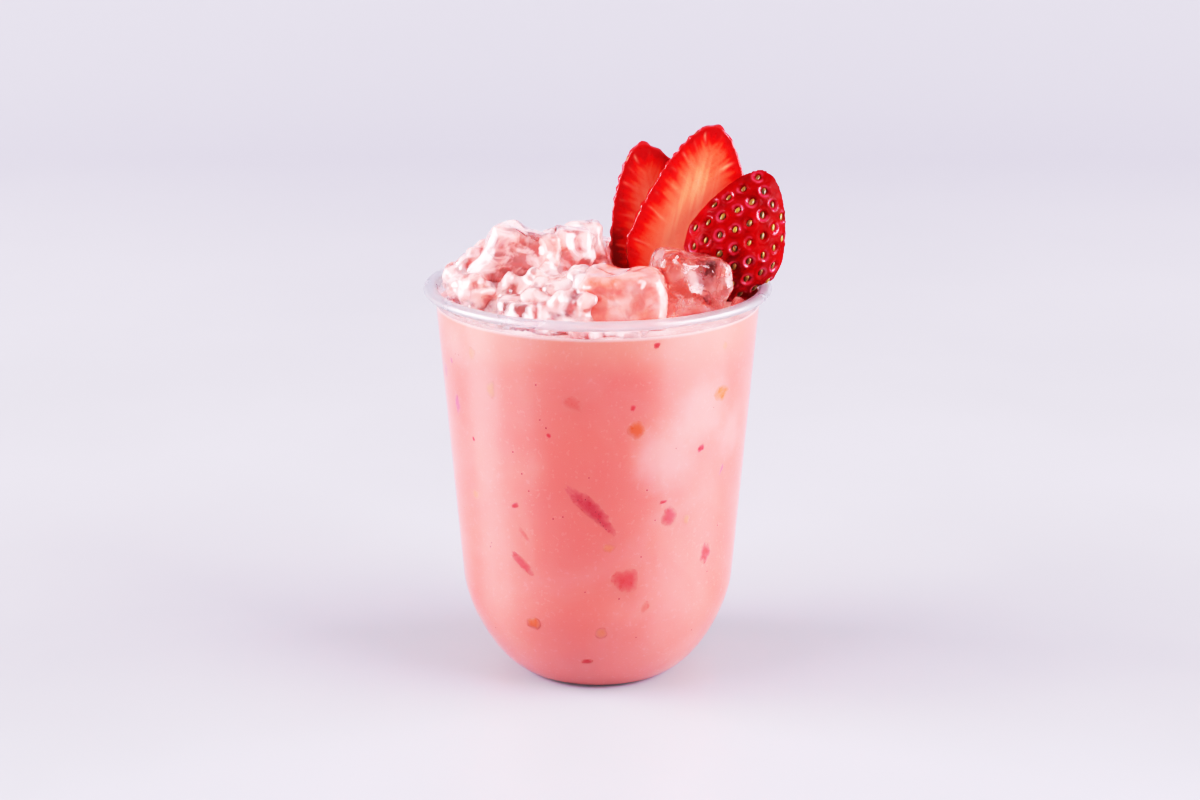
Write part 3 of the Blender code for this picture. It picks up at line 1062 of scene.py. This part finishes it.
def bit_finish(name, colour, veiled):
    """A wet shred of fruit, which takes the drink's pink towards its edge."""
    material, tree, shader = new_material(
        name,
        IOR=1.36,
        Subsurface_Weight=0.4,
        Subsurface_Radius=(1.0, 0.4, 0.35),
        Subsurface_Scale=2.0 * MM,
    )
    place = add(tree, "ShaderNodeTexCoord").outputs["Object"]
    veil = add(tree, "ShaderNodeAttribute", attribute_name="veil").outputs["Fac"]
    pulp = add(tree, "ShaderNodeTexNoise", {"Vector": place, "Scale": 700.0, "Detail": 3.0})
    mottled = add(tree, "ShaderNodeMapRange", [pulp, 0.3, 0.7, -0.2, 0.2])
    amount = add(tree, "ShaderNodeMath", [veil, mottled], operation="ADD", use_clamp=True)
    colours = add(
        tree, "ShaderNodeMix", {"Factor": amount, SHOWN: colour, OVER: veiled}, data_type="RGBA"
    )
    wet = add(tree, "ShaderNodeMapRange", {"Value": pulp, "To Min": 0.2, "To Max": 0.4})
    feed(tree, shader, {"Base Color": colours, "Roughness": wet})
    return material


PINK = "#EB867A"
bit_colours = {
    "shred": bit_finish("long_strawberry_shred", "#C8424E", PINK),
    "red": bit_finish("strawberry_shred", "#DE5654", PINK),
    "scarlet": bit_finish("bright_strawberry_shred", "#DA3A42", PINK),
    "orange": bit_finish("loose_achene", "#EC6C3C", PINK),
    "straw": bit_finish("veiled_achene", "#EE8A6C", PINK),
    "faint": bit_finish("veiled_shred", "#E67468", PINK),
    "magenta": bit_finish("magenta_shred", "#D8687F", PINK),
    "dark": bit_finish("dark_speck", "#7E2230", "#8E3640"),
}

draw = random.Random(11)
for number in range(MORE_BITS):
    kind = draw.choice(["red", "red", "scarlet", "orange", "straw", "faint", "magenta"])
    long = draw.uniform(3.5, 8.0) if kind == "red" else draw.uniform(1.4, 4.2)
    wide = long * draw.uniform(0.35, 0.8)
    # Steps of two unrelated shares keep them apart and out of rows.
    angle = 80 + (number * 0.7549 % 1.0) * 200
    height = 12 + 88 * (number * 0.5698 % 1.0)
    BITS.append((angle, height, long, wide, draw.uniform(0, 180), kind))

SOLID_SHARE = 0.4  # the share of a bit's reach that the milk leaves unveiled
BIT_RINGS = 6
BIT_SIDES = 28


def wall_place(angle, along, up, height, inset):
    """A point inside the wall, from a bit's middle by mm along and up, at an inset in metres."""
    level = height * MM + up * MM
    radius = wall_radius(level) - inset
    turn = math.radians(angle) + along * MM / radius
    return Vector((radius * math.sin(turn), -radius * math.cos(turn), level))


def add_bit(bm, veils, angle, height, long, wide, lean, seed):
    """A flat lens of ragged outline, whose middle stands out of the drink, into the wall."""
    shift = Vector((seed * 3.7, seed * 1.9, 0.0))
    lean = math.radians(lean)
    rings = []
    for ring in range(BIT_RINGS + 1):
        share = ring / BIT_RINGS
        inset = DRINK_INSET - STANDS_OUT * (1 - share**2) + 0.03 * MM * share
        row = []
        for k in range(BIT_SIDES if ring else 1):
            turn = 2 * math.pi * k / BIT_SIDES
            way = Vector((math.cos(turn), math.sin(turn), 0.0))
            ragged = 1 + 0.3 * noise.noise(way * 1.3 + shift) + 0.16 * noise.noise(way * 4 + shift)
            across = share * ragged * wide / 2 * math.cos(turn)
            up = share * ragged * long / 2 * math.sin(turn)
            along = across * math.cos(lean) + up * math.sin(lean)
            up = up * math.cos(lean) - across * math.sin(lean)
            row.append(bm.verts.new(wall_place(angle, along, up, height, inset)))
            veils.append(limited((share - SOLID_SHARE) / (1 - SOLID_SHARE)))
        rings.append(row)
    back = bm.verts.new(wall_place(angle, 0.0, 0.0, height, DRINK_INSET + 0.5 * MM))
    veils.append(1.0)
    for k in range(BIT_SIDES):
        n = (k + 1) % BIT_SIDES
        bm.faces.new((rings[0][0], rings[1][k], rings[1][n]))
        bm.faces.new((back, rings[-1][n], rings[-1][k]))
        for ring in range(1, BIT_RINGS):
            bm.faces.new((rings[ring][k], rings[ring + 1][k], rings[ring + 1][n], rings[ring][n]))


for kind, finish in bit_colours.items():
    chosen = [bit for bit in BITS if bit[5] == kind]
    if not chosen:
        continue
    bm = bmesh.new()
    veils = []
    for seed, (angle, height, long, wide, lean, _) in enumerate(chosen):
        size = (DRAWN_LONGER * long, DRAWN_WIDER * wide)
        add_bit(bm, veils, angle, height, *size, lean, seed + len(kind))
    mesh = bpy.data.meshes.new("bits_" + kind)
    bm.to_mesh(mesh)
    bm.free()
    add_layer(mesh, "veil", veils)
    outwards(mesh)
    bits = new_piece("sunk_bits_" + kind, mesh, finish)
    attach(bits, "root")

# Specks of seed and pulp, 0.2 to 0.4 mm across, hang in the drink all round.
SPECKS = [
    (-3.2, 67.1), (18.7, 62.9), (-5.1, 34.1), (8.6, 32.0), (17.2, 43.8), (-20.9, 82.5),
    (-18.7, 80.4), (-7.4, 60.7), (-21.9, 92.1), (-32.7, 72.3), (-13.3, 55.6), (-29.3, 66.5),
    (-26.7, 61.9), (-17.2, 54.8), (22.4, 54.0), (16.7, 19.7), (29.8, 73.7), (-0.8, 57.4),
    (0.2, 55.4), (1.0, 54.4), (2.2, 53.4), (3.2, 52.4), (0.4, 56.8), (-4.6, 60.9),
]
MORE_SPECKS = 60
SPECK_HALVES = (0.17 * MM, 0.14 * MM, 0.2 * MM)
draw = random.Random(23)
for _ in range(MORE_SPECKS):
    SPECKS.append((draw.uniform(40, 320), draw.uniform(10, 100)))
grains = []
for angle, height in SPECKS:
    spot = wall_place(angle, 0.0, 0.0, height, DRINK_INSET - 0.08 * MM)
    grains.append(Matrix.Translation(spot) @ Matrix.Rotation(math.radians(angle), 4, "Z"))
specks = scattered("sunk_specks", grains, SPECK_HALVES, bit_colours["dark"], 8)
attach(specks, "root")

# Floor, light and camera ----------------------------------------------------
# A plain pale sheet curves up behind the cup. A large soft box stands on each side, so the drink
# is bright at both sides and deeper in the middle, and a weaker one hangs above.

HALF_WIDE = 4.0  # the board's sizes are in metres
FRONT = -3.0
BEND = 0.8  # where the board starts to bend up, and its bend's radius
BEND_STEPS = 16
BOARD_TOP = 4.0
sweep = bpy.data.meshes.new("floor")
line = [(FRONT, 0.0), (BEND, 0.0)]
for i in range(1, BEND_STEPS + 1):
    angle = math.pi / 2 * i / BEND_STEPS
    line.append((BEND + BEND * math.sin(angle), BEND * (1 - math.cos(angle))))
line.append((2 * BEND, BOARD_TOP))
points = [(x, y, z) for y, z in line for x in (-HALF_WIDE, HALF_WIDE)]
faces = [(2 * i, 2 * i + 1, 2 * i + 3, 2 * i + 2) for i in range(len(line) - 1)]
sweep.from_pydata(points, [], faces)
paper, tree, shader = new_material("pale_matte_board", IOR=1.45)
place = add(tree, "ShaderNodeTexCoord").outputs["Object"]
# The board's paper face is matt, with a cloudy tone in patches about 200 mm wide.
cloudy = add(tree, "ShaderNodeTexNoise", {"Vector": place, "Scale": 5.0, "Detail": 4.0})
board = add(tree, "ShaderNodeValToRGB", [cloudy], stops=[(0.35, "#959499"), (0.65, "#9C9AA0")])
# It is a little lighter at the back.
axes = add(tree, "ShaderNodeSeparateXYZ", [place])
behind = add(tree, "ShaderNodeMapRange", [axes.outputs["Y"], 0.25, 0.85])
lifted = add(
    tree, "ShaderNodeMix", {"Factor": behind, SHOWN: board, OVER: "#9F9EA6"}, data_type="RGBA"
)
feed(tree, shader, {"Base Color": lifted, "Roughness": 0.4})
floor = new_piece("floor", sweep, paper)
for face in sweep.polygons:
    face.use_smooth = True


def soft_box(name, azimuth, distance, height, width, tall, power, colour, at=(0.0, 0.0, 0.07)):
    """A soft box that stands at an azimuth from the front, and faces the cup or a place."""
    lamp = bpy.data.lights.new(name, "AREA")
    lamp.shape = "RECTANGLE"
    lamp.size = width
    lamp.size_y = tall
    lamp.energy = power
    lamp.color = linear(colour)[:3]
    obj = bpy.data.objects.new(name, lamp)
    bpy.context.scene.collection.objects.link(obj)
    turn = math.radians(azimuth)
    spot = Vector((distance * math.sin(turn), -distance * math.cos(turn), height))
    obj.location = spot
    obj.rotation_mode = "QUATERNION"
    obj.rotation_quaternion = (Vector(at) - spot).to_track_quat("-Z", "Y")


WHITE = "#F9F2FF"
ABOVE_CUP = (0.0, 0.0, 0.3)
for name, azimuth, power in (
    ("left_front_box", -62, 34.0),
    ("left_box", -92, 68.0),
    ("right_front_box", 62, 62.0),
    ("right_box", 92, 46.0),
):
    soft_box(name, azimuth, 1.5, 0.62, 0.8, 1.1, power, WHITE, at=ABOVE_CUP)
soft_box("top_box", 0, 0.1, 1.7, 1.8, 1.4, 16.0, WHITE)

world = bpy.data.worlds.new("studio")
world.use_nodes = True
bpy.context.scene.world = world
air = {"Color": "#F4F0FA", "Strength": 0.1}
feed(world.node_tree, world.node_tree.nodes["Background"], air)

FOCAL_LENGTH, SENSOR_WIDTH = 67.47, 36.0  # in mm
CAMERA_PLACE = (0.61 * MM, -600 * MM, 251.2 * MM)
LOOKS_DOWN = 16.24  # degrees below level
lens = bpy.data.cameras.new("camera")
lens.lens = FOCAL_LENGTH
lens.sensor_width = SENSOR_WIDTH
camera = bpy.data.objects.new("camera", lens)
bpy.context.scene.collection.objects.link(camera)
camera.location = CAMERA_PLACE
camera.rotation_euler = (math.radians(90 - LOOKS_DOWN), 0.0, 0.0)
bpy.context.scene.camera = camera

# The camera's tone curve: deeper shades, and whites that roll off instead of clipping.
grading = bpy.context.scene.view_settings
grading.view_transform = "Standard"
grading.use_curve_mapping = True
grading.curve_mapping.clip_max_x = 2.0
tones = grading.curve_mapping.curves[3]
tones.points[1].location = (2.0, 1.0)
for light_in, light_out in (
    (0.05, 0.022),
    (0.13, 0.075),
    (0.25, 0.205),
    (0.35, 0.38),
    (0.45, 0.52),
    (0.62, 0.66),
    (0.8, 0.78),
    (1.0, 0.86),
    (1.25, 0.94),
    (1.6, 0.985),
):
    tones.points.new(light_in, light_out)
grading.curve_mapping.update()
